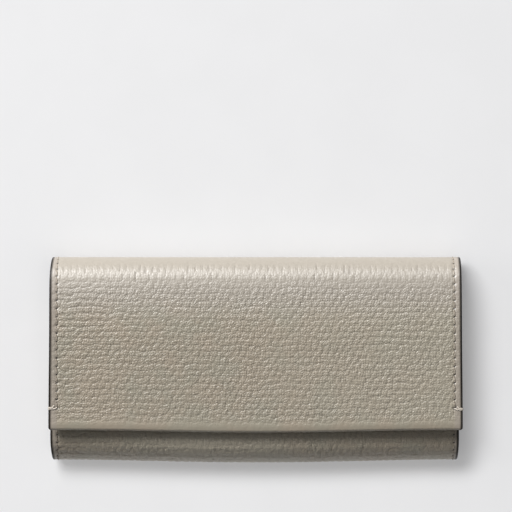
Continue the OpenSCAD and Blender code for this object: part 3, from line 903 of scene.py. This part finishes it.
def bag_relief(x, s, on_face, side):
    """The bag's walls dip along the two stitched lines below its mouth and at its side seams."""
    to_mouth = np.minimum(s, bag_length - s)
    lines = sum(np.exp(-((to_mouth - drop) / 0.4) ** 2) for drop in bag_seams)
    sides = np.exp(-((inner_half - np.abs(x) - bag_side_seam) / 0.4) ** 2)
    return (0.08 * lines + 0.08 * sides + 0.04 * (swell(x, s, 18, 2) + 1)) * on_face, {}


wall_places = np.concatenate([np.arange(0, 10, 0.5), np.linspace(10, bag_run - 1, 40)])
bag_places = np.concatenate([wall_places, np.linspace(bag_run, bag_length - bag_run, 24),
                             (bag_length - wall_places)[::-1]])
bag = sheet("coin_bag", bag_trail, bag_places, inner_half, 0, pocket_wall, smooth_leather, 1.0,
            relief=bag_relief)
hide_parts("coin_pocket_bag")
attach(bag, "coin_pocket")
bag_rows = []
for z, up in ((bag_low[2], -1), (bag_high[2], 1)):
    for drop in bag_seams:
        bag_rows.append(seam_on_plane(-inner_half + 3, mouth_y - drop, z, "x", 2 * inner_half - 6, 3.0, up=up))
    for side in (-1, 1):
        bag_rows.append(seam_on_plane(side * (inner_half - bag_side_seam), mouth_y - bag_run + 2, z, "y",
                                      bag_run - 6, 3.0, up=up))
bag_stitches = joined("coin_bag_stitches", bag_rows, seam_thread)
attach(bag_stitches, "coin_pocket")


# Gussets
def gusset_relief(x, s, on_face, side):
    """Slack in the thin leather, as hills of two sizes."""
    return 0.05 * (swell(x, s, 11, 3) + swell(x, s, 5, 1)) * on_face, {}


def gusset(node, name, low_z, high_z, blend=None, body=None):
    """A pleated side wall: a flange on each of the two walls it joins and a fold between them
    that points inwards, carried along the wallet's height with a slight sag."""
    low, high = node_box(node)
    flange, turn, thick = 4.5, 0.5, 0.45
    fold = abs(high[0] - low[0]) - flange
    rise = high_z - low_z
    lean = math.degrees(math.atan2(rise / 2, fold))
    slope = math.hypot(rise / 2, fold)
    trail = Trail((inner_half, low_z), 180,
                  [(flange - turn, 0), arc(turn, -lean), (slope - 2 * turn, 0), arc(turn, 2 * lean - 180),
                   (slope - 2 * turn, 0), arc(turn, -lean), (flange - turn, 0)])
    trail.q = low_z + (trail.q - low_z) * rise / (trail.q[-1] - low_z)
    piece = sheet(name, trail, np.linspace(0, trail.ends[-1], 70), (high[1] - low[1]) / 2, 0, thick,
                  smooth_leather, 1.5, relief=gusset_relief, axes=(1, 0, 2),
                  middle=(low[1] + high[1]) / 2)
    if node.endswith("left"):
        points = np.zeros(len(piece.data.vertices) * 3, np.float32)
        piece.data.vertices.foreach_get("co", points)
        points[::3] *= -1
        piece.data.vertices.foreach_set("co", points)
        piece.data.flip_normals()
    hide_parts(node)
    if blend:
        blend[2] * MM
        blend[3] * MM
        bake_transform(piece)
    else:
        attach(piece, body)


strips_top = node_box("back_card_strip_4")[1][2]
front_strips_low = node_box("front_card_strip_2")[0][2]
for side in ("left", "right"):
    gusset("gusset_back_" + side, "back_gusset_" + side, strips_top, bag_low[2],
           blend=("back", "coin_pocket", strips_top + 0.2, bag_low[2] - 0.2))
    gusset("gusset_front_" + side, "front_gusset_" + side, bag_high[2] - 0.15, front_strips_low,
           blend=("back", "front", 2 * bag_high[2] - front_strips_low, front_strips_low))
    gusset("coin_gusset_" + side, "coin_pocket_gusset_" + side, bag_low[2] + pocket_wall,
           bag_high[2] - pocket_wall, body="coin_pocket")


# The zip
tape_half = node_box("zip_tape_back")[1][0]
tape_top = node_box("zip_tape_back")[1][1]
tape_t, tape_seam = 0.4, 9.0
coin_low = bag_low[2] + pocket_wall
tape_turn = 0.6


def tape_relief(x, s, on_face, side):
    """A corded edge next to the teeth."""
    return -0.12 * np.exp(-((s - 0.5) / 0.35) ** 2) * on_face, {}


for node, mirror in (("zip_tape_back", None), ("zip_tape_front", pocket_mid)):
    trail = Trail((tape_top, pocket_mid - 0.05), -90, [(pocket_mid - 0.05 - coin_low - tape_turn, 0),
                                                       arc(tape_turn, -90), (tape_seam + tape_t - tape_turn, 0)])
    tape = sheet(node + "_woven", trail, np.linspace(0, trail.ends[-1], 50), tape_half, 0, tape_t, tape_cloth,
                 1.2, relief=tape_relief, mirror=mirror)
    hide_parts(node)
    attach(tape, "coin_pocket")
    declare_cloth(trail, 0, trail.ends[-1], tape_t / 2, "coin_bag")


def softened(node, width):
    """A copy of a plated part with its corners rounded. Points closer than 4 micrometres are one."""
    source = frame["nodes"][node]
    mesh = source.data.copy()
    work = bmesh.new()
    work.from_mesh(mesh)
    bmesh.ops.remove_doubles(work, verts=work.verts, dist=0.000004)
    bmesh.ops.dissolve_limit(work, angle_limit=math.radians(1), verts=work.verts, edges=work.edges)
    bmesh.ops.recalc_face_normals(work, faces=work.faces)
    work.to_mesh(mesh)
    work.free()
    mesh.materials.clear()
    mesh.materials.append(plated_metal)
    piece = placed(node + "_polished", mesh)
    rounding = piece.modifiers.new("rounding", "BEVEL")
    rounding.width, rounding.segments, rounding.limit_method = width * MM, 2, "ANGLE"
    rounding.angle_limit = math.radians(35)
    mesh.polygons.foreach_set("use_smooth", np.ones(len(mesh.polygons), bool))
    mesh.set_sharp_from_angle(angle=math.radians(50))
    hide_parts(node)
    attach(piece, source["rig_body"])


for node, width in (("zip_slider", 0.12), ("zip_puller", 0.15), ("snap_stud", 0.1), ("zip_stops", 0.15)):
    softened(node, width)

# Pieces that stay as the solids are and only get their finish
finishes = {"zip_teeth_back": plated_metal, "zip_teeth_front": plated_metal, "snap_stud_washer": plated_metal,
            "snap_socket_washer": plated_metal, "snap_socket": plated_metal, "snap_magnet": pressed_magnet,
            "back_board": fibre_board, "front_board": fibre_board}
for node, finish in finishes.items():
    mesh = frame["nodes"][node].data
    mesh.materials.clear()
    mesh.materials.append(finish)


# Floor, light and camera. The floor's size and drop are metres. To the eye it is partly a glow
floor_half, floor_drop = 4.0, 0.00005
floor_share = 0.3
floor_glow = rgb(218, 218, 219)
lamp_distance = 2.5


def floor():
    """A near-white floor of which a share is an even glow where the eye sees it, straight or mirrored."""
    f = Finish("pale_floor")
    speck = f.noise(f.place(), 30, 2)
    colour = f.mix(speck.fade(0.3, 0.7), rgb(236, 236, 237), rgb(234, 234, 235))
    paths = [f.node("ShaderNodeLightPath", output=f"Is {ray} Ray") for ray in ("Camera", "Glossy", "Transmission")]
    seen = f.node("ShaderNodeMath", {"operation": "ADD", "use_clamp": True}, {0: paths[0] + paths[1], 1: paths[2]})
    lit = f.node("ShaderNodeBsdfPrincipled", values={"Base Color": colour, "Roughness": 0.9,
                                                     "Specular IOR Level": 0.1})
    glow = f.node("ShaderNodeEmission", values={"Color": floor_glow})
    shared = f.node("ShaderNodeMixShader", values={0: seen * floor_share, 1: lit, 2: glow})
    f.node("ShaderNodeOutputMaterial", values={"Surface": shared})
    mesh = bpy.data.meshes.new("floor")
    corners = [(x * floor_half, y * floor_half, -floor_drop) for x, y in ((-1, -1), (1, -1), (1, 1), (-1, 1))]
    mesh.from_pydata(corners, [], [(0, 1, 2, 3)])
    mesh.materials.append(f.material)
    ground = placed("floor", mesh)
    return ground


def soft_light(name, azimuth, elevation, size, strength, on_floor):
    """A lamp of a width and height that faces the wallet's middle. The azimuth turns from +Y
    towards +X. On_floor says whether it lights only the floor or all but the floor."""
    data = bpy.data.lights.new(name, "AREA")
    data.shape, data.size, data.size_y = "RECTANGLE", size[0], size[1]
    data.energy = strength
    lamp = placed(name, data)
    turn, rise = math.radians(azimuth), math.radians(elevation)
    lamp.location = (lamp_distance * math.sin(turn) * math.cos(rise),
                     lamp_distance * math.cos(turn) * math.cos(rise), lamp_distance * math.sin(rise))
    lamp.rotation_euler = (-lamp.location.normalized()).to_track_quat("-Z", "Y").to_euler()
    group = bpy.data.collections.new(name + "_floor")
    group.objects.link(ground)
    lamp.light_linking.receiver_collection = group
    group.collection_objects[0].light_linking.link_state = "INCLUDE" if on_floor else "EXCLUDE"


ground = floor()
for lamp in (("back_left", -40, 27, (1.6, 0.5), 76, False), ("back_low", -12, 32, (1.6, 0.5), 22, False),
             ("back_high", -30, 44, (1.6, 0.5), 10, False), ("front_fill", 180, 35, (2.0, 0.8), 3, False),
             ("floor_key", -36, 58, (1.3, 0.9), 53, True), ("floor_top", 180, 72, (1.6, 1.6), 11.5, True),
             ("floor_side", -80, 30, (1.2, 0.8), 7, True)):
    soft_light(*lamp)

world = bpy.data.worlds.new("room")
bpy.context.scene.world = world
world.use_nodes = True
room_light = world.node_tree.nodes["Background"].inputs
room_light["Color"].default_value = (1, 1, 1, 1)
room_light["Strength"].default_value = 0.15

# The photo's view: straight down on the spine's edge, with a long lens
view_angle, camera_height = 8.996, 1.5262
camera = bpy.data.cameras.new("camera")
camera.sensor_width = 36
camera.lens = 18 / math.tan(math.radians(view_angle / 2))
camera.clip_start, camera.clip_end = 0.05, 20
eye = placed("camera", camera)
eye.location = (0.0002, 0.04746, camera_height)
bpy.context.scene.camera = eye
bpy.context.scene.view_settings.view_transform = "Standard"
